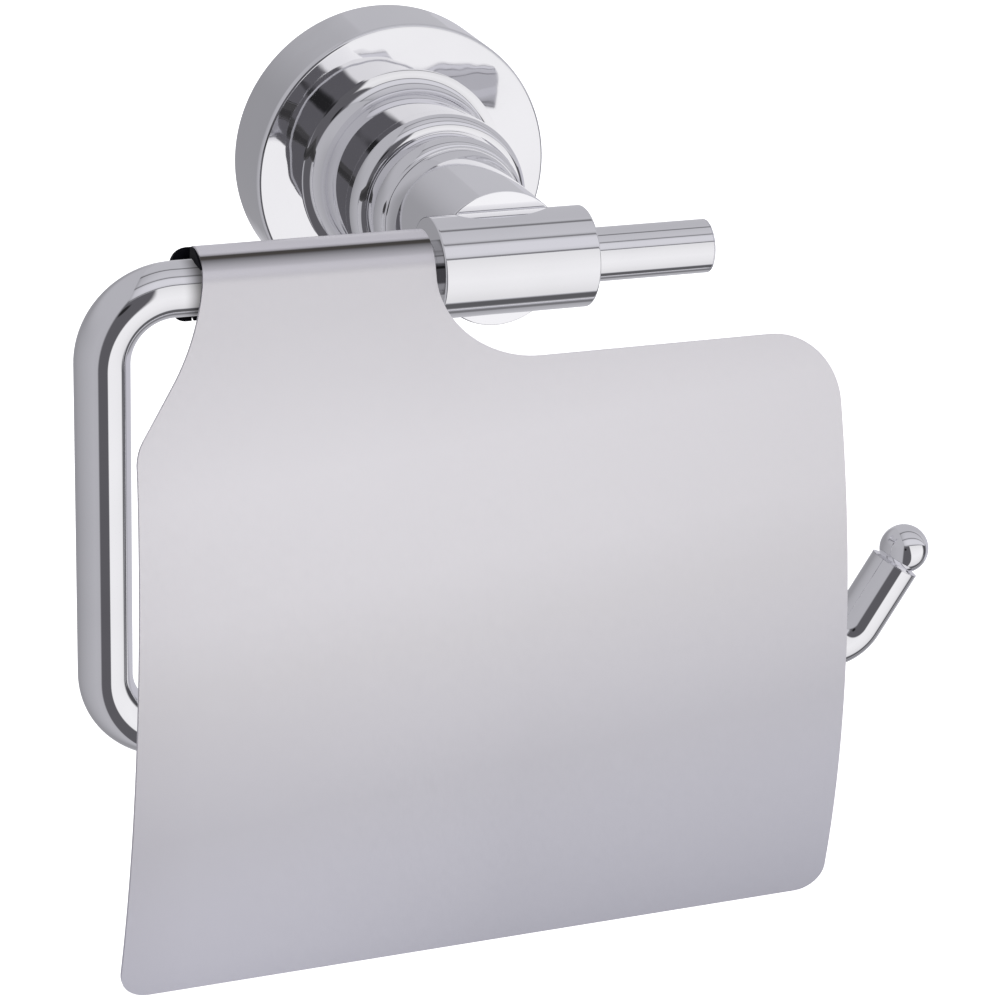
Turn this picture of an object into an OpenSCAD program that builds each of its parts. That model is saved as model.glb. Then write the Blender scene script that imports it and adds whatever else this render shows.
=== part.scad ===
// Toilet paper holder with a hinged lid, for a wall.
// X runs to the right, Y into the wall and Z up. The origin is the centre of the rosette on the wall.

/* [Rosette] */
// Diameter of the rosette
rosette_d = 56; // [52:1:64]
// How far the rosette stands out from the wall
rosette_depth = 15; // [14:0.5:18]
// Wall thickness of the rosette
rosette_wall = 2; // [1.5:0.1:2.5]
// Distance between the two wall screws
wall_screw_spacing = 32; // [28:1:34]
// Diameter of the wall screw holes
wall_screw_hole_d = 4.6; // [4:0.1:5]

/* [Post] */
// Distance from the wall to the axis of the bar
bar_reach = 68; // [66:1:80]
// Diameter of the post
post_d = 24.2; // [23:0.1:25]
// Diameter of the neck behind the bead
neck_d = 32.4; // [32:0.1:34]
// Diameter of the foot of the neck
neck_foot_d = 39.2; // [38:0.1:42]
// Diameter of the front collar
front_collar_d = 28.4; // [27:0.1:29]

/* [Rod] */
// Diameter of the bent rod
rod_d = 9.4; // [8.8:0.1:9.6]
// Distance from the bar down to the roll rail
rail_drop = 81; // [75:0.1:90]
// Distance from the post to the leg of the rod
leg_offset = 70; // [68:0.5:76]
// How far the roll rail runs to the right before the tip turns up
rail_reach = 68.9; // [64:0.1:76]
// Angle by which the tip turns up
tip_angle = 59.4; // [45:0.1:75]
// Diameter of the ball on the tip
ball_d = 9.2; // [8.8:0.1:9.4]

/* [Lid] */
// Thickness of the lid sheet
sheet = 0.7; // [0.6:0.05:0.8]
// Outer diameter of the rolled hem
hem_d = 13.6; // [13.2:0.1:14]
// Height of the lid plate from the bar to its lower edge
lid_drop = 123.85; // [110:0.05:130]
// Half the width of the lid plate at the height of the bar
lid_half_w = 62.4; // [61:0.1:64]
// Growth of the half width for each millimetre down
lid_flare = 0.0437; // [0.02:0.0001:0.05]

/* [Hidden] */
$fn = 96;

chrome = [0.86, 0.87, 0.89];
steel = [0.62, 0.63, 0.65];
satin = [0.80, 0.80, 0.82];
black_plastic = [0.05, 0.05, 0.05];

rosette_r = rosette_d / 2;
front_plate = 3;
plate_thickness = 3;
plate_rim_depth = 10;
plate_r = rosette_r - rosette_wall - 0.2;
set_screw_y = 6.5;
set_screw_r = 2;

bead_back = 32.2;
bead_front = 37;
bead_r = 16.7;
front_collar_front = 46.5;
post_front = bar_reach - 1.8;
stub_r = 5;
screw_r = 2.5;
screw_reach = 30;

rod_r = rod_d / 2;
sleeve_r = 8.77;
sleeve_left = -13.45;
sleeve_right = 14.6;
pin_end = 37.7;
top_bend = 12;
low_bend = 12.5;
tip_bend = 7;
tip_straight = 13.3;
tip_step = 0.02;
ball_offset = 16.5;
ball_stub_r = 2;
ball_stub_length = 5;
clamp_x = 9.5;

hem_r = hem_d / 2;
hem_left = -54.05;
hem_right = -14.5;
hem_wrap = 222;
liner_left = -57.6;
liner_right = -15.5;
liner_bore_r = rod_r + 0.08;
liner_lip_r = 6.7;
liner_lip_round = 1.9;
liner_lip_back = 1.7;
liner_gap = 0.25;
lid_lean = 18.5;
lid_centre = -4.45;
lid_straight_z = -14;
lid_arc_r = 198;
lid_top_z = -13.05;
low_corner_r = 5.5;
top_corner_r = 12.3;

// Points of an arc in a plane, from angle a0 to a1, round or elliptical
function arc(cx, cy, rx, ry, a0, a1, steps) =
    [for (i = [0:steps]) let (a = a0 + (a1 - a0) * i / steps) [cx + rx * cos(a), cy + ry * sin(a)]];

// Turns a profile of radius and distance from the wall round the axis of the post
module turned(points)
{
    rotate([90, 0, 0])
        rotate_extrude()
            polygon(points);
}

// A cylinder that stands out from the wall, from one distance to another
module round_bar(r, from, to)
{
    translate([0, -from, 0])
        rotate([90, 0, 0])
            cylinder(r = r, h = to - from);
}

// A cylinder along the bar, from one X to another
module along_bar(r, from, to)
{
    translate([from, -bar_reach, 0])
        rotate([0, 90, 0])
            cylinder(r = r, h = to - from);
}

// A quarter or less of a round bend in the plane of the rod, starting on the left of its centre
module rod_bend(x, z, bend_r, turn, start)
{
    translate([x, -bar_reach, z])
        rotate([90, 0, 0])
            rotate([0, 0, start])
                rotate_extrude(angle = turn)
                    translate([bend_r, 0])
                        circle(r = rod_r);
}

// Moves its children to the end of the tip bend, with Z along the tip
module at_tip()
{
    translate([rail_reach, -bar_reach, -rail_drop + tip_bend])
        rotate([0, 90 - tip_angle, 0])
            translate([tip_bend, 0, 0])
                children();
}

module wall_plate()
{
    color(steel)
        difference()
        {
            union()
            {
                round_bar(plate_r, 0, plate_thickness);
                difference()
                {
                    round_bar(plate_r, 0, plate_rim_depth);
                    round_bar(plate_r - 2.5, -1, plate_rim_depth + 1);
                }
            }
            for (side = [-1, 1])
                translate([side * wall_screw_spacing / 2, 0, 0])
                    round_bar(wall_screw_hole_d / 2, -1, plate_thickness + 1);
            translate([0, -set_screw_y, -plate_r - 1])
                cylinder(r = set_screw_r + 0.05, h = 2.2);
        }
}

module rosette()
{
    edge = 0.8;
    color(chrome)
        difference()
        {
            turned(concat(
                [[0, rosette_depth - front_plate], [rosette_r - rosette_wall, rosette_depth - front_plate]],
                [[rosette_r - rosette_wall, 0], [rosette_r, 0]],
                arc(rosette_r - edge, rosette_depth - edge, edge, edge, 0, 90, 6),
                [[0, rosette_depth]]
            ));
            round_bar(screw_r + 0.2, 0, rosette_depth + 1);
            translate([0, -set_screw_y, -rosette_r - 1])
                cylinder(r = set_screw_r + 0.05, h = rosette_wall + 2);
        }
}

// A headless screw along Z with a hex socket in its lower end
module grub_screw(from, to)
{
    translate([0, 0, from])
        difference()
        {
            cylinder(r = set_screw_r, h = to - from);
            translate([0, 0, -1])
                cylinder(r = 1.15, h = 3, $fn = 6);
        }
}

module rosette_set_screw()
{
    color(steel)
        translate([0, -set_screw_y, 0])
            grub_screw(-rosette_r + 0.3, -plate_r + 1.1);
}

module neck_collar()
{
    foot_r = neck_foot_d / 2;
    neck_r = neck_d / 2;
    cove_r = foot_r - neck_r;
    shoulder_r = bead_r - front_collar_d / 2;
    color(chrome)
        turned(concat(
            [[stub_r + 0.1, rosette_depth]],
            [[foot_r, rosette_depth], [foot_r, rosette_depth + 0.6]],
            arc(foot_r, rosette_depth + 0.6 + cove_r, cove_r, cove_r, 260, 180, 10),
            [[neck_r, bead_back], [bead_r - 0.2, bead_back], [bead_r, bead_back + 0.3]],
            arc(bead_r - shoulder_r, bead_front - shoulder_r, shoulder_r, shoulder_r, 0, 90, 12),
            [[stub_r + 0.1, bead_front]]
        ));
}

module front_collar()
{
    collar_r = front_collar_d / 2;
    post_r = post_d / 2;
    lip_r = collar_r - 1.3;
    color(chrome)
        turned(concat(
            [[stub_r + 0.1, bead_front], [collar_r, bead_front], [collar_r, 40.4]],
            arc(lip_r, 40.4, 1.3, 2.6, 0, 80, 8),
            [[lip_r, 43.1]],
            arc(lip_r, front_collar_front, lip_r - post_r, 3.2, 270, 180, 8),
            [[stub_r + 0.1, front_collar_front]]
        ));
}

module post()
{
    color(chrome)
        difference()
        {
            union()
            {
                round_bar(post_d / 2, front_collar_front, post_front);
                round_bar(stub_r, rosette_depth, front_collar_front + 1);
            }
            along_bar(sleeve_r + 0.02, -20, 20);
            round_bar(screw_r + 0.05, rosette_depth - 1, screw_reach + 1);
        }
}

module post_screw()
{
    head = rosette_depth - front_plate - 1;
    color(steel)
        difference()
        {
            union()
            {
                round_bar(4.5, head - 3, head);
                round_bar(screw_r, head - 1, screw_reach);
            }
            translate([0, -(head - 4), 0])
                rotate([90, 0, 0])
                    cylinder(r = 2.3, h = 3, $fn = 6);
        }
}

module post_washer()
{
    back = rosette_depth - front_plate - 1;
    color(steel)
        difference()
        {
            round_bar(6, back, back + 1);
            round_bar(screw_r + 0.2, back - 1, back + 2);
        }
}

module sleeve()
{
    color(chrome)
        difference()
        {
            along_bar(sleeve_r, sleeve_left, sleeve_right);
            along_bar(rod_r + 0.03, sleeve_left - 1, sleeve_right + 1);
            translate([clamp_x, -bar_reach, -sleeve_r - 1])
                cylinder(r = set_screw_r + 0.05, h = sleeve_r);
        }
}

module arm_set_screw()
{
    color(steel)
        translate([clamp_x, -bar_reach, 0])
            grub_screw(-sleeve_r + 0.3, -rod_r - 0.02);
}

module arm_rod()
{
    leg_x = -leg_offset;
    color(chrome)
        difference()
        {
            union()
            {
                along_bar(rod_r, leg_x + top_bend, pin_end);
                rod_bend(leg_x + top_bend, -top_bend, top_bend, 90, 90);
                translate([leg_x, -bar_reach, -rail_drop + low_bend])
                    cylinder(r = rod_r, h = rail_drop - top_bend - low_bend);
                rod_bend(leg_x + low_bend, -rail_drop + low_bend, low_bend, 90, 180);
                translate([0, 0, -rail_drop])
                    along_bar(rod_r, leg_x + low_bend, rail_reach);
                rod_bend(rail_reach, -rail_drop + tip_bend, tip_bend, tip_angle, 270);
                at_tip()
                    translate([0, 0, -0.05])
                        cylinder(r = rod_r + tip_step, h = tip_straight + 0.05);
            }
            at_tip()
                translate([0, 0, tip_straight - ball_stub_length - 0.5])
                    cylinder(r = ball_stub_r + 0.03, h = ball_stub_length + 1);
        }
}

module tip_ball()
{
    color(chrome)
        at_tip()
        {
            difference()
            {
                translate([0, 0, ball_offset])
                    sphere(d = ball_d);
                translate([-10, -10, tip_straight - 20])
                    cube([20, 20, 20]);
            }
            translate([0, 0, tip_straight - ball_stub_length])
                cylinder(r = ball_stub_r, h = ball_stub_length + 1);
        }
}

// The bush in the hem, with a rounded lip that sticks out to the left behind the bar
module hinge_liner()
{
    lip_end = hem_left - liner_gap;
    lip_depth = lip_end - liner_left;
    color(black_plastic)
        difference()
        {
            union()
            {
                along_bar(hem_r - sheet - 0.02, lip_end - 0.01, liner_right);
                difference()
                {
                    translate([lip_end, -bar_reach, 0])
                        rotate([0, -90, 0])
                            rotate_extrude()
                                polygon(concat(
                                    [[0, 0], [liner_lip_r, 0]],
                                    arc(liner_lip_r - liner_lip_round, lip_depth - liner_lip_round - 0.5,
                                        liner_lip_round, liner_lip_round + 0.5, 0, 90, 10),
                                    [[0, lip_depth]]
                                ));
                    translate([liner_left - 1, -bar_reach + liner_lip_back - 20, -10])
                        cube([lip_depth + 1 - 0.35, 20, 20]);
                }
            }
            along_bar(liner_bore_r, liner_left - 1, liner_right + 1);
            translate([liner_left - 1, -bar_reach - 20, -10])
                cube([hem_left + 0.6 - liner_left + 1, 20, 14.6]);
        }
}

// Extrudes a profile of Y and Z along X, from one X to another
module across(from, to)
{
    translate([from, 0, 0])
        rotate([90, 0, 90])
            linear_extrude(height = to - from)
                children();
}

// Section of the rolled hem, from the top of the bar over its back to its underside
module hem_section()
{
    end = 180 - lid_lean - hem_wrap;
    polygon(concat(
        arc(-bar_reach, 0, hem_r, hem_r, 90, end, 40),
        arc(-bar_reach, 0, hem_r - sheet, hem_r - sheet, end, 90, 40)
    ));
}

// Section of the front of the lid: over the bar, down a short flat run, then along a shallow bow
module plate_section()
{
    front_y = -bar_reach - hem_r / cos(lid_lean) + lid_straight_z * tan(lid_lean);
    centre_y = front_y + lid_arc_r * cos(lid_lean);
    centre_z = lid_straight_z - lid_arc_r * sin(lid_lean);
    low = asin((-lid_drop - centre_z) / lid_arc_r);
    tip = asin((-lid_drop - centre_z) / (lid_arc_r - sheet));
    polygon(concat(
        arc(-bar_reach, 0, hem_r, hem_r, 90, 180 - lid_lean, 16),
        arc(centre_y, centre_z, lid_arc_r, lid_arc_r, 180 - lid_lean, 180 - low, 24),
        arc(centre_y, centre_z, lid_arc_r - sheet, lid_arc_r - sheet, 180 - tip, 180 - lid_lean, 24),
        arc(-bar_reach, 0, hem_r - sheet, hem_r - sheet, 180 - lid_lean, 90, 16)
    ));
}

// Outline of the lid plate seen from the front, with the tab that reaches up to the hem
module plate_outline()
{
    right_x = lid_centre + lid_half_w;
    tilt = atan(lid_flare);
    flare_r = 38;
    shoulder_r = 8;
    slope = 9.8;
    turn = 35;
    flare_c = [hem_left - flare_r, 9.3];
    shoulder_c = flare_c + (flare_r + shoulder_r) * [cos(turn), -sin(turn)] - slope * [sin(turn), cos(turn)];
    low_half = lid_half_w + lid_flare * lid_drop;
    tab_c = [3.5, 1.05];
    tab_r = [tab_c[0] - hem_right, tab_c[1] - lid_top_z];
    top_c = [right_x + lid_flare * 27 - top_corner_r, lid_top_z - top_corner_r];
    polygon(concat(
        [[hem_right, flare_c[1]]],
        arc(flare_c[0], flare_c[1], flare_r, flare_r, 0, -turn, 12),
        arc(shoulder_c[0], shoulder_c[1], shoulder_r, shoulder_r, 180 - turn, 180 + tilt, 8),
        arc(lid_centre - low_half + low_corner_r, -lid_drop + low_corner_r, low_corner_r, low_corner_r,
            180 + tilt, 270, 8),
        arc(lid_centre + low_half - low_corner_r, -lid_drop + low_corner_r, low_corner_r, low_corner_r,
            270, 360 - tilt, 8),
        arc(top_c[0], top_c[1], top_corner_r, top_corner_r, -tilt, 90, 10),
        arc(tab_c[0], tab_c[1], tab_r[0], tab_r[1], 270, 180, 14)
    ));
}

module lid()
{
    color(satin)
    {
        across(hem_left, hem_right)
            hem_section();
        intersection()
        {
            across(-90, 80)
                plate_section();
            rotate([90, 0, 0])
                linear_extrude(height = 120)
                    plate_outline();
        }
    }
}

wall_plate();
rosette();
rosette_set_screw();
neck_collar();
front_collar();
post();
post_screw();
post_washer();
sleeve();
arm_set_screw();
arm_rod();
tip_ball();
hinge_liner();
lid();
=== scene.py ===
import math

import bmesh
import bpy
from mathutils import Matrix, Vector


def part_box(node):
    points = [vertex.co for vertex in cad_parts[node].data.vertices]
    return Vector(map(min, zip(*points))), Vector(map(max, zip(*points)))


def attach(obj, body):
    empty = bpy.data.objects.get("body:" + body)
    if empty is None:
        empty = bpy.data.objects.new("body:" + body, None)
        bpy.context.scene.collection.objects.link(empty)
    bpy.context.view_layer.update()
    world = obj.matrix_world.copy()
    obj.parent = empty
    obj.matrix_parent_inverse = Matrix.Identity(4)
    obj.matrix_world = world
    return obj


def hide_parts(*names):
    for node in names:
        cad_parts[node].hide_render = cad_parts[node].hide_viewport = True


# The looks of the toilet paper holder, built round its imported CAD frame. Lengths are in metres:
# MM is one millimetre. X is right along the bar, Y goes into the wall and Z is up.

MM = 0.001
RIM = 0.03 * MM          # width of the loops that keep flat faces flat beside a rounded edge
SEGMENTS = 160           # steps round a turned piece

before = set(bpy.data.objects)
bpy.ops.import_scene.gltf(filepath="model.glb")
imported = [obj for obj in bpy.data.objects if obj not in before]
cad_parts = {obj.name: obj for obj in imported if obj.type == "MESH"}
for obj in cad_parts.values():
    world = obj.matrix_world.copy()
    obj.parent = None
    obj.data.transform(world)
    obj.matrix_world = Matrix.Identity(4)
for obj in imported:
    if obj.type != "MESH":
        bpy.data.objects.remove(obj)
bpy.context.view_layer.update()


# ---------------------------------------------------------------- sizes, from the frame

def size_x(node):
    low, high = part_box(node)
    return low.x, high.x


def radius_x(node):
    low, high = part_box(node)
    return (high.x - low.x) / 2


def radius_z(node):
    low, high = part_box(node)
    return (high.z - low.z) / 2


def front_of(node):
    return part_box(node)[0].y


SLEEVE_LOW, SLEEVE_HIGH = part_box("sleeve")
ROD_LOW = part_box("arm_rod")[0]
LID_LOW, LID_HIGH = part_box("lid")

BAR_Y = (SLEEVE_LOW.y + SLEEVE_HIGH.y) / 2
ROD_R = 4.7 * MM
LEG_X = ROD_LOW.x + ROD_R
PIN_END = 37.7 * MM
RAIL_Z = ROD_LOW.z + ROD_R
TOP_BEND = 12 * MM
LOW_BEND = 12.5 * MM
TIP_BEND = 7 * MM
TIP_TURN = math.radians(59.4)
TIP_X = 68.9 * MM
TIP_STRAIGHT = 13.3 * MM
BALL_R = 4.6 * MM
BALL_OFFSET = 16.5 * MM

SHEET = 0.7 * MM
HEM_R = 6.8 * MM
HEM_LEFT = -54.05 * MM
HEM_RIGHT = -14.5 * MM
HEM_WRAP = math.radians(222)
LEAN = math.radians(18.5)
LID_CENTRE = (LID_LOW.x + LID_HIGH.x) / 2
LID_BOTTOM = LID_LOW.z


# ---------------------------------------------------------------- mesh helpers

def arc(cx, cy, r, start, end, steps):
    """Points of an arc in a plane, from the angle start to the angle end, in degrees."""
    angles = [math.radians(start + (end - start) * i / steps) for i in range(steps + 1)]
    return [(cx + r * math.cos(a), cy + r * math.sin(a)) for a in angles]


def with_rims(outline):
    """Adds a point near both ends of each long straight run, so that a smooth edge stays narrow."""
    points = []
    for i, here in enumerate(outline):
        there = outline[(i + 1) % len(outline)]
        points.append(here)
        length = math.dist(here, there)
        if length > 20 * RIM:
            for share in (RIM / length, 1 - RIM / length):
                points.append(tuple(a + (b - a) * share for a, b in zip(here, there)))
    return points


def new_object(name, bm, sharp=35):
    """Turns a bmesh into a smooth object whose edges over the angle sharp stay crisp."""
    bmesh.ops.remove_doubles(bm, verts=bm.verts, dist=1e-7)
    bmesh.ops.recalc_face_normals(bm, faces=bm.faces)
    mesh = bpy.data.meshes.new(name)
    bm.to_mesh(mesh)
    bm.free()
    mesh.polygons.foreach_set("use_smooth", [True] * len(mesh.polygons))
    mesh.set_sharp_from_angle(angle=math.radians(sharp))
    obj = bpy.data.objects.new(name, mesh)
    bpy.context.scene.collection.objects.link(obj)
    return obj


def skin(bm, rings, closed_ring=True, closed_path=False):
    """Joins rings of vertices, one after another, with four-sided faces."""
    pairs = list(zip(rings, rings[1:]))
    if closed_path:
        pairs.append((rings[-1], rings[0]))
    for one, two in pairs:
        count = len(one)
        for i in range(count if closed_ring else count - 1):
            j = (i + 1) % count
            corners = [one[i], one[j], two[j], two[i]]
            kept = [v for k, v in enumerate(corners) if v not in corners[:k]]
            if len(kept) > 2:
                bm.faces.new(kept)


def turned(name, outline, place, segments=SEGMENTS, sharp=35):
    """A turned piece: an outline of (radius, height), where place takes local Z to its axis."""
    bm = bmesh.new()
    rings = []
    for radius, height in with_rims(outline):
        if radius < 1e-9:
            centre = bm.verts.new(place @ Vector((0, 0, height)))
            rings.append([centre] * segments)
            continue
        ring = []
        for i in range(segments):
            a = 2 * math.pi * i / segments
            point = Vector((radius * math.cos(a), radius * math.sin(a), height))
            ring.append(bm.verts.new(place @ point))
        rings.append(ring)
    on_axis = outline[0][0] < 1e-9 and outline[-1][0] < 1e-9
    skin(bm, rings, closed_path=not on_axis)
    return new_object(name, bm, sharp)


def carved(piece, cutters, sharp=35):
    """Cuts the cutters out of the piece and removes them."""
    for cutter in cutters:
        cut = piece.modifiers.new("cut", "BOOLEAN")
        cut.operation = "DIFFERENCE"
        cut.solver = "EXACT"
        cut.object = cutter
    bake(piece, sharp)
    for cutter in cutters:
        bpy.data.objects.remove(cutter)


def bake(piece, sharp):
    """Applies a piece's modifiers and sets its smooth faces and crisp edges again."""
    bpy.context.view_layer.update()
    graph = bpy.context.evaluated_depsgraph_get()
    piece.data = bpy.data.meshes.new_from_object(piece.evaluated_get(graph))
    piece.modifiers.clear()
    piece.data.polygons.foreach_set("use_smooth", [True] * len(piece.data.polygons))
    piece.data.set_sharp_from_angle(angle=math.radians(sharp))


def block(name, low, high):
    """A plain box between two corners, to cut with."""
    bm = bmesh.new()
    bmesh.ops.create_cube(bm, size=1.0)
    for vertex in bm.verts:
        vertex.co = Vector([low[i] + (high[i] - low[i]) * (vertex.co[i] + 0.5) for i in range(3)])
    return new_object(name, bm)


# Local Z along the post, out from the wall, and local Z along the bar
OUT_FROM_WALL = Matrix.Rotation(math.radians(90), 4, "X")
ALONG_BAR = Matrix.Translation((0, BAR_Y, 0)) @ Matrix.Rotation(math.radians(90), 4, "Y")


def finish_piece(obj, body, node, material):
    """Gives a piece its material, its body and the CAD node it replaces."""
    obj.data.materials.append(material)
    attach(obj, body)
    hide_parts(node)
    return obj


# ---------------------------------------------------------------- materials

def new_material(name):
    """A new material with its node tree and its main shader."""
    material = bpy.data.materials.new(name)
    material.use_nodes = True
    tree = material.node_tree
    return material, tree, tree.nodes["Principled BSDF"]


def object_noise(tree, scale, stretch=(1, 1, 1), detail=3.0):
    """Noise fixed to the object, stretched along its axes."""
    coordinates = tree.nodes.new("ShaderNodeTexCoord")
    mapping = tree.nodes.new("ShaderNodeMapping")
    mapping.inputs["Scale"].default_value = stretch
    noise = tree.nodes.new("ShaderNodeTexNoise")
    noise.inputs["Scale"].default_value = scale
    noise.inputs["Detail"].default_value = detail
    tree.links.new(coordinates.outputs["Object"], mapping.inputs["Vector"])
    tree.links.new(mapping.outputs["Vector"], noise.inputs["Vector"])
    return noise.outputs["Fac"]


def ramp(tree, source, stops):
    """A colour ramp from (position, colour or grey) stops."""
    node = tree.nodes.new("ShaderNodeValToRGB")
    elements = node.color_ramp.elements
    while len(elements) < len(stops):
        elements.new(0.5)
    for element, (position, tone) in zip(elements, stops):
        element.position = position
        element.color = (*tone, 1) if isinstance(tone, tuple) else (tone, tone, tone, 1)
    tree.links.new(source, node.inputs["Fac"])
    return node.outputs["Color"]


def math_node(tree, operation, *values):
    """A maths node fed with numbers or links."""
    node = tree.nodes.new("ShaderNodeMath")
    node.operation = operation
    for socket, value in zip(node.inputs, values):
        if isinstance(value, (int, float)):
            socket.default_value = value
        else:
            tree.links.new(value, socket)
    return node.outputs[0]


def angle_ramp(tree, angle, stops):
    """Tones round a full turn, from stops of (degrees from -180 to 180, tone)."""
    share = math_node(tree, "MULTIPLY_ADD", angle, 1 / (2 * math.pi), 0.5)
    return ramp(tree, share, [((degrees + 180) / 360, tone) for degrees, tone in stops])


def mix(tree, factor, one, two):
    """Goes from the first tone to the second as the factor rises from 0 to 1."""
    node = tree.nodes.new("ShaderNodeMix")
    node.data_type = "RGBA"
    tree.links.new(factor, node.inputs["Factor"])
    for socket, value in ((node.inputs["A"], one), (node.inputs["B"], two)):
        if isinstance(value, tuple):
            socket.default_value = (*value, 1)
        else:
            tree.links.new(value, socket)
    return node.outputs["Result"]


def step(tree, value, low, high, kind="SMOOTHSTEP"):
    """Rises from 0 at the value low to 1 at the value high."""
    node = tree.nodes.new("ShaderNodeMapRange")
    node.interpolation_type = kind
    tree.links.new(value, node.inputs["Value"])
    node.inputs["From Min"].default_value = low
    node.inputs["From Max"].default_value = high
    return node.outputs["Result"]


def multiply(tree, one, two):
    """The product of two tones."""
    node = tree.nodes.new("ShaderNodeMix")
    node.data_type = "RGBA"
    node.blend_type = "MULTIPLY"
    node.inputs["Factor"].default_value = 1.0
    tree.links.new(one, node.inputs["A"])
    tree.links.new(two, node.inputs["B"])
    return node.outputs["Result"]


def plain(tree, tone):
    """One tone for the whole surface, to multiply others with."""
    node = tree.nodes.new("ShaderNodeRGB")
    node.outputs[0].default_value = (*tone, 1)
    return node.outputs[0]


def bump(tree, height, shader, strength, distance):
    """Raises the surface's shading by a height field."""
    node = tree.nodes.new("ShaderNodeBump")
    node.inputs["Strength"].default_value = strength
    node.inputs["Distance"].default_value = distance
    tree.links.new(height, node.inputs["Height"])
    tree.links.new(node.outputs["Normal"], shader.inputs["Normal"])


def object_axes(tree):
    """The three coordinates of the object's own space."""
    coordinates = tree.nodes.new("ShaderNodeTexCoord")
    split = tree.nodes.new("ShaderNodeSeparateXYZ")
    tree.links.new(coordinates.outputs["Object"], split.inputs[0])
    return split.outputs


def chrome_material(name, painted_lightness=1.0, beside_bush=False, rippled=False):
    """Mirror chrome plate with faint water marks; its tone can be painted lighter, and on the rod
    painted shade darkens it close to the black bush.
    """
    material, tree, shader = new_material(name)
    shader.inputs["Metallic"].default_value = 1.0
    haze = object_noise(tree, 60, detail=4.0)
    tone = ramp(tree, haze, [(0.3, tuple(c * painted_lightness for c in (0.865, 0.862, 0.882))),
                             (0.7, tuple(c * painted_lightness for c in (0.895, 0.892, 0.912)))])
    if beside_bush:
        # Painted shade: the bar is darkened from just left of the lid's hem through the hem, and
        # half as dark from the hem's right end to inside the sleeve.
        x, _, z = object_axes(tree)
        near = step(tree, x, HEM_LEFT - 3.4 * MM, HEM_LEFT + 0.3 * MM)
        past_hem = step(tree, x, HEM_RIGHT - 1.0 * MM, HEM_RIGHT)
        in_sleeve = step(tree, x, -12 * MM, -8 * MM)
        fading = math_node(tree, "MULTIPLY", past_hem, 0.5)
        gone = math_node(tree, "MULTIPLY", in_sleeve, 0.5)
        clear = math_node(tree, "ADD", fading, gone)
        on_bar = step(tree, z, -9 * MM, -6 * MM)
        painted_shade = math_node(tree, "MULTIPLY", math_node(tree, "SUBTRACT", near, clear), on_bar)
        tone = mix(tree, painted_shade, tone, (0.13, 0.128, 0.125))
    tree.links.new(tone, shader.inputs["Base Color"])
    marks = object_noise(tree, 180, detail=5.0)
    tree.links.new(ramp(tree, marks, [(0.35, 0.02), (0.75, 0.05)]), shader.inputs["Roughness"])
    if rippled:
        bump(tree, object_noise(tree, 110, detail=1.5), shader, 0.5, 0.00019)
    return material


PAINTED_SHEEN_RUN = 125 * MM       # height over which the lid's painted sheen falls off


def lid_material():
    """Satin stainless sheet with faint clouds of tone and painted light: a painted sheen that dulls
    the lower half, a painted dark line and highlight along the hem, lighter left and lower-left,
    darker right.
    """
    material, tree, shader = new_material("satin_steel")
    shader.inputs["Metallic"].default_value = 1.0
    cloud = object_noise(tree, 14, detail=2.0)
    tone = ramp(tree, cloud, [(0.3, (0.750, 0.735, 0.760)), (0.7, (0.764, 0.749, 0.774))])
    x, _, z = object_axes(tree)
    # Painted sheen: lighter near the top and duller, slightly bluer lower down, along a slight
    # slant, standing in for how the light falls.
    slanted = math_node(tree, "SUBTRACT", math_node(tree, "MULTIPLY", x, 0.1), z)
    down = math_node(tree, "MULTIPLY", slanted, 1 / PAINTED_SHEEN_RUN)
    painted_sheen = ramp(tree, down, [
        (0.0, 1.04), (0.20, 1.14), (0.36, 1.10), (0.46, 1.015), (0.58, (0.943, 0.945, 0.965)),
        (0.68, (0.868, 0.873, 0.905)), (0.79, (0.860, 0.868, 0.918)), (1.0, (0.826, 0.838, 0.905))])
    # Painted reflection along the hem: a painted dark line near the top of the hem with a painted
    # highlight above it.
    up = step(tree, z, 3.5 * MM, HEM_R, "LINEAR")
    hem = ramp(tree, up, [
        (0.0, 1.0), (0.25, 1.0), (0.42, 0.82), (0.55, 0.60), (0.66, 0.36),
        (0.72, (0.148, 0.140, 0.122)), (0.80, (0.138, 0.130, 0.114)), (0.84, 0.85), (0.89, 1.19),
        (1.0, 1.15)])
    # Painted light: the lid is painted a little lighter on the left and darker on the right.
    rightwards = step(tree, x, -60 * MM, 60 * MM, "LINEAR")
    across = ramp(tree, rightwards, [(0.0, 1.06), (0.5, 1.0), (1.0, 0.93)])
    # Painted light: the lower left corner is painted up to 23% lighter.
    downwards = step(tree, z, 0, -120 * MM, "LINEAR")
    low = ramp(tree, downwards, [(0.0, 0.0), (0.33, 0.15), (0.61, 0.40), (0.98, 1.0)])
    corner = math_node(tree, "MULTIPLY", step(tree, x, 0, -60 * MM, "LINEAR"), low)
    painted_corner_light = mix(tree, corner, plain(tree, (1.0, 1.0, 1.0)), (1.23, 1.23, 1.23))
    for shade in (painted_sheen, hem, across, painted_corner_light):
        tone = multiply(tree, tone, shade)
    tree.links.new(tone, shader.inputs["Base Color"])
    grain = object_noise(tree, 2600, stretch=(1.0, 1.0, 0.25), detail=2.0)
    tree.links.new(ramp(tree, grain, [(0.3, 0.32), (0.7, 0.36)]), shader.inputs["Roughness"])
    bump(tree, grain, shader, 0.05, 0.00001)
    return material


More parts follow.
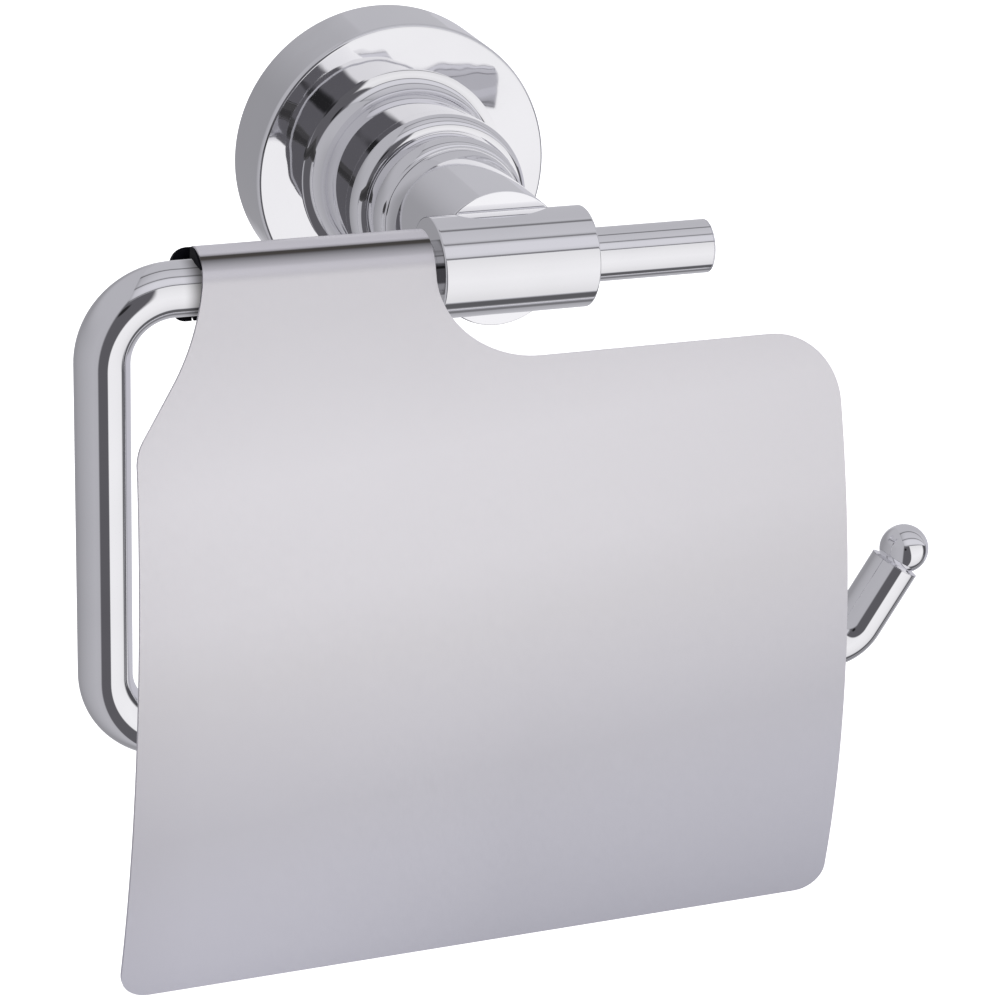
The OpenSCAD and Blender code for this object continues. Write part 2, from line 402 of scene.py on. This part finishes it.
def zinc_material():
    """Plain zinc-plated steel with a mottled spangle."""
    material, tree, shader = new_material("zinc_plate")
    shader.inputs["Metallic"].default_value = 1.0
    spangle = object_noise(tree, 240, detail=3.0)
    tone = ramp(tree, spangle, [(0.35, (0.50, 0.51, 0.53)), (0.65, (0.68, 0.69, 0.70))])
    tree.links.new(tone, shader.inputs["Base Color"])
    tree.links.new(ramp(tree, spangle, [(0.3, 0.28), (0.7, 0.45)]), shader.inputs["Roughness"])
    bump(tree, spangle, shader, 0.08, 0.00003)
    return material


def plastic_material():
    """Black moulded plastic with a fine moulded grain."""
    material, tree, shader = new_material("black_plastic")
    grain = object_noise(tree, 1500, detail=2.0)
    tone = ramp(tree, grain, [(0.3, (0.003, 0.003, 0.005)), (0.7, (0.007, 0.007, 0.010))])
    tree.links.new(tone, shader.inputs["Base Color"])
    tree.links.new(ramp(tree, grain, [(0.3, 0.42), (0.7, 0.55)]), shader.inputs["Roughness"])
    shader.inputs["Specular IOR Level"].default_value = 0.03
    bump(tree, grain, shader, 0.15, 0.00004)
    return material


CHROME = chrome_material("mirror_chrome")
PLATE_CHROME = chrome_material("plate_chrome", rippled=True)
# Painted light: the post's chrome is the same chrome painted 7% lighter.
POST_CHROME = chrome_material("post_chrome", painted_lightness=1.07)
ROD_CHROME = chrome_material("rod_chrome", beside_bush=True)
SATIN = lid_material()
ZINC = zinc_material()
PLASTIC = plastic_material()


# ---------------------------------------------------------------- turned pieces on the wall axis

def build_rosette():
    """The cup over the wall plate: a hollow drum with a softly rounded front edge."""
    r = radius_x("rosette")
    depth = -front_of("rosette")
    wall = 2 * MM
    plate = 3 * MM
    edge = 0.8 * MM
    bore = 2.7 * MM
    foot = 0.3 * MM
    outline = [(bore, depth - plate), (r - wall, depth - plate), (r - wall, 0), (r - foot, 0)]
    outline += [(r, foot)]
    outline += arc(r - edge, depth - edge, edge, 0, 90, 8)
    outline += [(bore, depth)]
    piece = turned("rosette_cup", outline, OUT_FROM_WALL, segments=224)
    return finish_piece(piece, "holder", "rosette", PLATE_CHROME)


def build_neck_collar():
    """The turned neck: a coved foot on the rosette, a plain drum and a rounded bead in front."""
    foot = radius_x("neck_collar")
    back = -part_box("neck_collar")[1].y
    front = -front_of("neck_collar")
    neck = 16.2 * MM
    bead = 16.7 * MM
    bead_back = 32.2 * MM
    bead_edge = 0.3 * MM
    shoulder = 2.5 * MM
    cove = foot - neck
    bore = 5.1 * MM
    outline = [(bore, back), (foot, back), (foot, back + 0.4 * MM)]
    outline += arc(foot, back + 0.6 * MM + cove, cove, 262, 180, 14)
    outline += arc(bead - bead_edge, bead_back + bead_edge, bead_edge, -70, 0, 5)
    outline += arc(bead - shoulder, front - shoulder, shoulder, 0, 84, 16)
    outline += [(bore, front)]
    piece = turned("neck_ring", outline, OUT_FROM_WALL)
    return finish_piece(piece, "holder", "neck_collar", CHROME)


def build_front_collar():
    """The smaller ring: a rounded shoulder, a fine lip and a cove that runs out on the post."""
    r = radius_x("front_collar")
    back = -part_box("front_collar")[1].y
    front = -front_of("front_collar")
    post = radius_x("post")
    bore = 5.1 * MM
    shoulder_in = 1.3 * MM
    shoulder_long = 2.6 * MM
    shoulder_back = 40.4 * MM
    cove_long = 3.2 * MM
    edge = 0.15 * MM
    lip = r - shoulder_in
    shoulder = [(lip + shoulder_in * math.cos(a), shoulder_back + shoulder_long * math.sin(a))
                for a in (math.radians(80 * i / 12) for i in range(13))]
    cove = [(lip + (lip - post) * math.cos(a), front + cove_long * math.sin(a))
            for a in (math.radians(270 - 90 * i / 12) for i in range(13))]
    outline = [(bore, back), (r - edge, back), (r, back + edge)]
    outline += shoulder + cove + [(bore, front)]
    piece = turned("front_ring", outline, OUT_FROM_WALL)
    return finish_piece(piece, "holder", "front_collar", CHROME)


def build_post():
    """The post: a plain bar with a flat, softly edged end, and a saddle that the sleeve lies in."""
    r = radius_x("post")
    back = -front_of("front_collar")
    front = -front_of("post")
    root = -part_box("post")[1].y
    stub = 5 * MM
    edge = 0.25 * MM
    outline = [(0, root), (stub, root), (stub, back), (r, back)]
    outline += arc(r - edge, front - edge, edge, 0, 90, 5)
    outline += [(0, front)]
    piece = turned("post_bar", outline, OUT_FROM_WALL)
    cutter_r = radius_z("sleeve") + 0.02 * MM
    reach = 20 * MM
    rod = [(0, -reach), (cutter_r, -reach), (cutter_r, reach), (0, reach)]
    carved(piece, [turned("saddle_cutter", rod, ALONG_BAR)])
    return finish_piece(piece, "holder", "post", POST_CHROME)


# ---------------------------------------------------------------- the sleeve and the rod

def build_sleeve():
    """The cross sleeve, with eased edges at its two flat ends and a bore for the rod."""
    r = radius_z("sleeve")
    left, right = size_x("sleeve")
    edge = 0.35 * MM
    bore = ROD_R + 0.03 * MM
    outline = [(bore, left)]
    outline += arc(r - edge, left + edge, edge, -90, 0, 6)
    outline += arc(r - edge, right - edge, edge, 0, 90, 6)
    outline += [(bore, right)]
    piece = turned("cross_sleeve", outline, ALONG_BAR)
    return finish_piece(piece, "holder", "sleeve", CHROME)


def rod_path():
    """The rod's centre line as (point, direction), from the pin's end to the tip."""
    def bend(cx, cz, radius, start, turn, steps):
        stations = []
        for i in range(steps + 1):
            a = start + turn * i / steps
            point = Vector((cx + radius * math.cos(a), BAR_Y, cz + radius * math.sin(a)))
            side = 1 if turn > 0 else -1
            stations.append((point, Vector((-math.sin(a) * side, 0, math.cos(a) * side))))
        return stations

    left = Vector((-1, 0, 0))
    stations = [(Vector((PIN_END, BAR_Y, 0)), left)]
    stations += bend(LEG_X + TOP_BEND, -TOP_BEND, TOP_BEND, math.pi / 2, math.pi / 2, 28)
    stations += bend(LEG_X + LOW_BEND, RAIL_Z + LOW_BEND, LOW_BEND, math.pi, math.pi / 2, 28)
    stations += bend(TIP_X, RAIL_Z + TIP_BEND, TIP_BEND, -math.pi / 2, TIP_TURN, 20)
    end, direction = stations[-1]
    stations.append((end + direction * TIP_STRAIGHT, direction))
    return stations


def tip_place():
    """Where the tip bend ends, with local Z along the tip."""
    end, direction = rod_path()[-2]
    return Matrix.Translation(end) @ direction.to_track_quat("Z", "Y").to_matrix().to_4x4()


def build_rod():
    """The bent rod, swept in one piece, with a fine chamfer at the pin's end and an eased tip."""
    stations = rod_path()
    eased = []
    for (point, direction), (after, following) in zip(stations, stations[1:]):
        eased.append((point, direction))
        gap = (after - point).length
        if gap > 100 * RIM:
            eased.append((point + direction * RIM * 2, direction))
            eased.append((after - following * RIM * 2, following))
    eased.append(stations[-1])
    bm = bmesh.new()
    segments = 96

    def ring(point, direction, radius):
        up = Vector((0, -1, 0))
        across = direction.cross(up)
        return [bm.verts.new(point + (up * math.cos(2 * math.pi * i / segments)
                                      + across * math.sin(2 * math.pi * i / segments)) * radius)
                for i in range(segments)]

    chamfer = 0.35 * MM
    start, out = eased[0]
    end, along = eased[-1]
    rings = [ring(start, out, ROD_R - chamfer), ring(start + out * chamfer, out, ROD_R)]
    rings += [ring(point, direction, ROD_R) for point, direction in eased[1:-1]]
    ease = 0.2 * MM
    for radius, back in ((ROD_R, ease), (ROD_R - 0.3 * ease, 0.3 * ease), (ROD_R - ease, 0.0)):
        rings.append(ring(end - along * back, along, radius))
    skin(bm, rings)
    bm.faces.new(rings[0])
    bm.faces.new(rings[-1])
    piece = new_object("bent_rod", bm)
    return finish_piece(piece, "holder", "arm_rod", ROD_CHROME)


def build_ball():
    """The ball, sunk a little on the end of the rod, with a turned step where it meets it."""
    cut = BALL_OFFSET - TIP_STRAIGHT
    start = -math.degrees(math.asin(cut / BALL_R))
    outline = [(0, TIP_STRAIGHT)] + arc(0, BALL_OFFSET, BALL_R, start, 90, 40)[:-1]
    outline.append((0, BALL_OFFSET + BALL_R))
    piece = turned("ball_end", outline, tip_place(), segments=96)
    return finish_piece(piece, "holder", "tip_ball", CHROME)


# ---------------------------------------------------------------- the lid and its liner

def build_liner():
    """The black bush in the hem, with a rounded lip that sticks out to the left behind the bar."""
    r = HEM_R - SHEET - 0.02 * MM
    lip = radius_z("hinge_liner")
    left, right = size_x("hinge_liner")
    bore = ROD_R + 0.08 * MM
    lip_end = HEM_LEFT - 0.25 * MM
    flange = 0.35 * MM
    flange_low = 4.6 * MM
    behind = BAR_Y + 1.7 * MM
    ease = 1.9 * MM
    outline = [(bore, left)]
    outline += [(lip - ease + ease * math.cos(a), left + (ease + 0.5 * MM) * (1 - math.sin(a)))
                for a in (math.radians(90 - 90 * i / 14) for i in range(15))]
    outline += [(lip, lip_end), (r, lip_end)]
    outline += arc(r - 0.2 * MM, right - 0.2 * MM, 0.2 * MM, 0, 90, 4)
    outline += [(bore, right)]
    piece = turned("hinge_bush", outline, ALONG_BAR, segments=96)
    reach = 20 * MM
    corner = (left - MM, BAR_Y - reach, -reach / 2)
    in_front = block("front_cutter", corner, (lip_end - flange, behind, reach / 2))
    below = block("low_cutter", corner, (lip_end + 0.01 * MM, behind, flange_low))
    inside = block("inner_cutter", corner, (HEM_LEFT + 0.6 * MM, BAR_Y + 0.6 * MM, flange_low))
    carved(piece, [in_front, below, inside])
    piece.visible_glossy = False
    return finish_piece(piece, "lid_flap", "hinge_liner", PLASTIC)


FLARE_R = 38 * MM
FLARE_C = (HEM_LEFT - FLARE_R, 9.3 * MM)
SHOULDER_R = 8 * MM
SLOPE = 9.8 * MM
FLARE_TURN = math.radians(35)
BOTH_R = FLARE_R + SHOULDER_R
SHOULDER_C = (FLARE_C[0] + BOTH_R * math.cos(FLARE_TURN) - SLOPE * math.sin(FLARE_TURN),
              FLARE_C[1] - BOTH_R * math.sin(FLARE_TURN) - SLOPE * math.cos(FLARE_TURN))
FLARE_END = FLARE_C[1] - FLARE_R * math.sin(FLARE_TURN)
SLOPE_END = FLARE_END - SLOPE * math.cos(FLARE_TURN)
LID_TOP = -13.05 * MM
TOP_CORNER = 12.3 * MM
LOW_CORNER = 5.5 * MM
HALF_WIDTH = 62.4 * MM
SIDE_FLARE = 0.0437
TAB_C = (3.5 * MM, 1.05 * MM)
TAB_R = (TAB_C[0] - HEM_RIGHT, TAB_C[1] - LID_TOP)


def half_width(z):
    """Half the width of the plate, which grows a little downwards."""
    return HALF_WIDTH - SIDE_FLARE * z


def low_corner_inset(z):
    """How far the rounded lower corners pull the side edges in."""
    above = z - LID_BOTTOM
    if above >= LOW_CORNER:
        return 0.0
    return LOW_CORNER - math.sqrt(max(0.0, LOW_CORNER ** 2 - (LOW_CORNER - above) ** 2))


def left_edge(z):
    """The left edge of the lid: a hollow flare, a slope, a round shoulder and a straight side."""
    if z >= FLARE_C[1]:
        return HEM_LEFT
    if z > FLARE_END:
        return FLARE_C[0] + math.sqrt(FLARE_R ** 2 - (FLARE_C[1] - z) ** 2)
    if z > SLOPE_END:
        return FLARE_C[0] + FLARE_R * math.cos(FLARE_TURN) - (FLARE_END - z) * math.tan(FLARE_TURN)
    side = LID_CENTRE - half_width(z) + low_corner_inset(z)
    if z > SHOULDER_C[1] - SHOULDER_R * math.sin(math.atan(SIDE_FLARE)):
        return SHOULDER_C[0] - math.sqrt(SHOULDER_R ** 2 - (SHOULDER_C[1] - z) ** 2)
    return side


def tab_edge(z):
    """The right edge of the tab, which sweeps out to the top of the plate."""
    if z >= TAB_C[1]:
        return HEM_RIGHT
    share = min(1.0, (TAB_C[1] - z) / TAB_R[1])
    return TAB_C[0] - TAB_R[0] * math.sqrt(1 - share ** 2)


def right_edge(z):
    """The right edge of the plate, from its round upper corner to its lower one."""
    side = LID_CENTRE + half_width(z) - low_corner_inset(z)
    below = LID_TOP - z
    if below >= TOP_CORNER:
        return side
    inset = TOP_CORNER - math.sqrt(max(0.0, TOP_CORNER ** 2 - (TOP_CORNER - below) ** 2))
    return side - inset


def lid_section():
    """The sheet's outer face from the hem's free end down, as (y, z, normal angle, part)."""
    stations = []
    start = math.pi - LEAN
    steps = 96
    for i in range(steps + 1):
        a = start - HEM_WRAP + HEM_WRAP * i / steps
        stations.append((BAR_Y + HEM_R * math.cos(a), HEM_R * math.sin(a), a, "hem"))
    arc_r = 198 * MM
    straight_z = -14 * MM
    front_y = BAR_Y - HEM_R / math.cos(LEAN) + straight_z * math.tan(LEAN)
    centre_y = front_y + arc_r * math.cos(LEAN)
    centre_z = straight_z - arc_r * math.sin(LEAN)
    rows = []
    for i in range(1, 25):
        share = math.sin(math.pi / 2 * i / 24)
        rows.append(TAB_C[1] + (LID_TOP - TAB_C[1]) * share)
    rows[-1] = LID_TOP
    for i in range(1, 21):
        rows.append(LID_TOP - TOP_CORNER * (1 - math.cos(math.pi / 2 * i / 20)))
    plain_top = rows[-1]
    plain_low = LID_BOTTOM + LOW_CORNER
    for i in range(1, 41):
        rows.append(plain_top + (plain_low - plain_top) * i / 40)
    for i in range(1, 11):
        rows.append(LID_BOTTOM + LOW_CORNER * (1 - math.sin(math.pi / 2 * i / 10)))
    for z in rows:
        if z > straight_z:
            y = BAR_Y - HEM_R / math.cos(LEAN) + z * math.tan(LEAN)
            stations.append((y, z, start, "plate"))
        else:
            a = math.pi - math.asin((z - centre_z) / arc_r)
            stations.append((centre_y + arc_r * math.cos(a), z, a, "plate"))
    return stations


def build_lid():
    """The lid: one satin sheet, rolled over the bar, with its cut edges eased."""
    bm = bmesh.new()
    tab_columns = 20
    wing_columns = 24
    outer = []
    inner = []
    wing_outer = []
    wing_inner = []
    for y, z, angle, part in lid_section():
        on_front = part == "plate" or angle > math.pi / 2
        left = left_edge(z) if on_front else HEM_LEFT
        right = tab_edge(z) if part == "plate" and z >= LID_TOP else HEM_RIGHT
        if part == "plate" and z < LID_TOP:
            right = TAB_C[0]
        back_y = y - SHEET * math.cos(angle)
        back_z = z - SHEET * math.sin(angle)
        spread = [left + (right - left) * i / tab_columns for i in range(tab_columns + 1)]
        outer.append([bm.verts.new((x, y, z)) for x in spread])
        inner.append([bm.verts.new((x, back_y, back_z)) for x in spread])
        if part == "plate" and z <= LID_TOP:
            far = right_edge(z)
            wing = [right + (far - right) * i / wing_columns for i in range(1, wing_columns + 1)]
            wing_outer.append([outer[-1][-1]] + [bm.verts.new((x, y, z)) for x in wing])
            wing_inner.append([inner[-1][-1]] + [bm.verts.new((x, back_y, back_z)) for x in wing])
    for rings in (outer, wing_outer):
        skin(bm, rings, closed_ring=False)
    for rings in (inner, wing_inner):
        skin(bm, [list(reversed(ring)) for ring in rings], closed_ring=False)

    rows_above = len(outer) - len(wing_outer)
    border = [(o, i) for o, i in zip(outer[0], inner[0])]
    border += [(outer[k][-1], inner[k][-1]) for k in range(1, rows_above + 1)]
    border += list(zip(wing_outer[0], wing_inner[0]))[1:]
    border += [(wing_outer[k][-1], wing_inner[k][-1]) for k in range(1, len(wing_outer))]
    border += list(zip(reversed(wing_outer[-1]), reversed(wing_inner[-1])))[1:]
    border += list(zip(reversed(outer[-1]), reversed(inner[-1])))[1:]
    border += [(outer[k][0], inner[k][0]) for k in range(len(outer) - 2, 0, -1)]
    for (a, b), (c, d) in zip(border, border[1:] + border[:1]):
        if a is not c:
            bm.faces.new([a, c, d, b])
    piece = new_object("lid_sheet", bm, sharp=50)
    ease = piece.modifiers.new("eased_edges", "BEVEL")
    ease.width = 0.12 * MM
    ease.segments = 2
    ease.limit_method = "ANGLE"
    ease.angle_limit = math.radians(60)
    bake(piece, 15)
    piece.visible_glossy = False
    return finish_piece(piece, "lid_flap", "lid", SATIN)


# ---------------------------------------------------------------- studio

def dot(tree, vector, direction):
    """How far a direction agrees with a fixed one: the cosine between them."""
    node = tree.nodes.new("ShaderNodeVectorMath")
    node.operation = "DOT_PRODUCT"
    tree.links.new(vector, node.inputs[0])
    node.inputs[1].default_value = direction
    return node.outputs["Value"]


def build_world():
    """A light tent: a white panel at the front right, a dark lens opening and a grey seamed roof.

    Azimuth turns round Z from straight in front (0) to the right (+90); roll turns round X from
    straight in front (0) over the top (+90). The camera itself sees plain white.
    """
    world = bpy.data.worlds.new("studio")
    bpy.context.scene.world = world
    world.use_nodes = True
    tree = world.node_tree
    background = tree.nodes["Background"]
    coordinates = tree.nodes.new("ShaderNodeTexCoord")
    way = coordinates.outputs["Generated"]
    split = tree.nodes.new("ShaderNodeSeparateXYZ")
    tree.links.new(way, split.inputs[0])
    x, y, z = split.outputs
    forward = math_node(tree, "MULTIPLY", y, -1.0)
    azimuth = math_node(tree, "ARCTAN2", x, forward)
    roll = math_node(tree, "ARCTAN2", z, forward)
    deg = math.radians(1)

    grey = (0.985, 0.98, 1.04)
    left_wall = angle_ramp(tree, azimuth, [
        (-180, 0.34), (-150, 0.33), (-125, 0.385), (-90, 0.445), (-50, 0.50), (-30, 0.49),
        (150, 0.60), (166, 0.61), (180, 0.34)])
    left_high = mix(tree, step(tree, z, 0.1, 0.55), left_wall, (0.50, 0.50, 0.50))
    dark = (0.116, 0.114, 0.118)
    front = mix(tree, step(tree, azimuth, -33 * deg, -26 * deg), left_high, dark)
    beside_lens = dot(tree, way, (-0.341, -0.888, 0.309))
    opening = step(tree, beside_lens, math.cos(6.5 * deg), math.cos(3 * deg))
    front = mix(tree, opening, front, (0.02, 0.02, 0.02))
    panel = angle_ramp(tree, roll, [
        (-78, 0.78), (-60, 0.85), (-40, 0.93), (-16, 0.975), (8, 0.935), (32, 0.85)])
    leaning = math_node(tree, "MULTIPLY_ADD", z, 0.20, azimuth)
    panel = multiply(tree, panel, plain(tree, (1.0, 1.0, 0.955)))
    front = mix(tree, step(tree, leaning, 3.5 * deg, 7.5 * deg), front, panel)
    front = mix(tree, step(tree, azimuth, 68 * deg, 77 * deg), front, (0.085, 0.085, 0.088))
    front = mix(tree, step(tree, azimuth, 87 * deg, 104 * deg), front, (0.585, 0.582, 0.60))
    walls = mix(tree, step(tree, azimuth, 140 * deg, 166 * deg), front, left_high)

    ground = angle_ramp(tree, roll, [
        (-180, 0.56), (-150, 0.56), (-130, 0.50), (-112, 0.42), (-108, 0.20), (-100, 0.20),
        (-96, 0.38), (-91, 0.38), (-87, 0.12), (-73.5, 0.115), (-71, 0.40), (-68, 0.84)])
    low_roll = math_node(tree, "MULTIPLY", step(tree, roll, -67.5 * deg, -69 * deg),
                         step(tree, azimuth, -12 * deg, 6 * deg))
    low_side = step(tree, z, -0.50, -0.58)
    in_front = step(tree, azimuth, 92 * deg, 82 * deg)
    below = mix(tree, in_front, low_side, low_roll)
    below = math_node(tree, "MULTIPLY", below, step(tree, azimuth, -12 * deg, 6 * deg))
    below = math_node(tree, "MULTIPLY", below, step(tree, z, -0.30, -0.42))
    lower = mix(tree, below, walls, ground)

    roof = angle_ramp(tree, roll, [
        (32.6, 0.85), (33.6, 0.20), (35.6, 0.20), (37.6, 0.67), (44, 0.745), (60, 0.74),
        (65.4, 0.60), (66.8, 0.19), (68.4, 0.19), (70.6, 0.52), (74, 0.61), (101.4, 0.57),
        (103.6, 0.20), (106.4, 0.19), (109.4, 0.50), (113, 0.585), (180, 0.585)])
    side = dot(tree, way, (0.911, -0.249, 0.328))
    falloff = ramp(tree, side, [(0.0, 0.60), (0.06, 0.82), (0.18, 0.93), (0.35, 1.0)])
    shaded = multiply(tree, roof, falloff)
    shaded = mix(tree, step(tree, y, 0.25, 0.45), shaded, (0.53, 0.53, 0.53))
    over = math_node(tree, "MULTIPLY", step(tree, side, -0.012, 0.012),
                     step(tree, roll, 32.2 * deg, 33 * deg))
    studio = multiply(tree, mix(tree, over, lower, shaded), plain(tree, grey))

    light_path = tree.nodes.new("ShaderNodeLightPath")
    seen = mix(tree, light_path.outputs["Is Camera Ray"], studio, (1.0, 1.0, 1.0))
    tree.links.new(seen, background.inputs["Color"])
    background.inputs["Strength"].default_value = 1.0


def build_floor():
    """A plain white floor well under the holder, which the chrome doesn't mirror."""
    bm = bmesh.new()
    segments = 96
    radius = 6
    height = LID_BOTTOM - 0.25
    angles = [2 * math.pi * i / segments for i in range(segments)]
    bm.faces.new([bm.verts.new((radius * math.cos(a), radius * math.sin(a), height))
                  for a in angles])
    floor = new_object("studio_floor", bm)
    material, _, shader = new_material("white_floor")
    shader.inputs["Base Color"].default_value = (0.9, 0.9, 0.9, 1)
    shader.inputs["Roughness"].default_value = 0.9
    shader.inputs["Emission Color"].default_value = (1, 1, 1, 1)
    shader.inputs["Emission Strength"].default_value = 1.0
    floor.data.materials.append(material)
    floor.visible_glossy = False
    floor.visible_shadow = False


CAMERA_AT = (-181.06 * MM, -529.26 * MM, 167.04 * MM)
LENS = 110.03              # focal length in millimetres


def build_camera():
    """The camera, above and to the left of the holder, a little tilted."""
    yaw = math.radians(21.578)
    pitch = math.radians(23.078)
    tilt = math.radians(2.537)
    level = math.cos(pitch)
    look = Vector((math.sin(yaw) * level, math.cos(yaw) * level, -math.sin(pitch)))
    right = Vector((math.cos(yaw), -math.sin(yaw), 0))
    up = right.cross(look)
    side = right * math.cos(tilt) + up * math.sin(tilt)
    top = up * math.cos(tilt) - right * math.sin(tilt)
    data = bpy.data.cameras.new("camera")
    data.sensor_width = 36
    data.lens = LENS
    data.clip_start = 0.01
    data.clip_end = 50
    camera = bpy.data.objects.new("camera", data)
    turn = Matrix((side, top, -look)).transposed().to_4x4()
    camera.matrix_world = Matrix.Translation(CAMERA_AT) @ turn
    bpy.context.scene.collection.objects.link(camera)
    bpy.context.scene.camera = camera


# ---------------------------------------------------------------- assembly

for build in (build_rosette, build_neck_collar, build_front_collar, build_post, build_sleeve,
              build_rod, build_ball, build_liner, build_lid):
    build()

for hidden in ("wall_plate", "rosette_set_screw", "post_screw", "post_washer", "arm_set_screw"):
    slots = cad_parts[hidden].data.materials
    slots.clear()
    slots.append(ZINC)

build_world()
build_floor()
build_camera()
bpy.context.scene.view_settings.view_transform = "Standard"
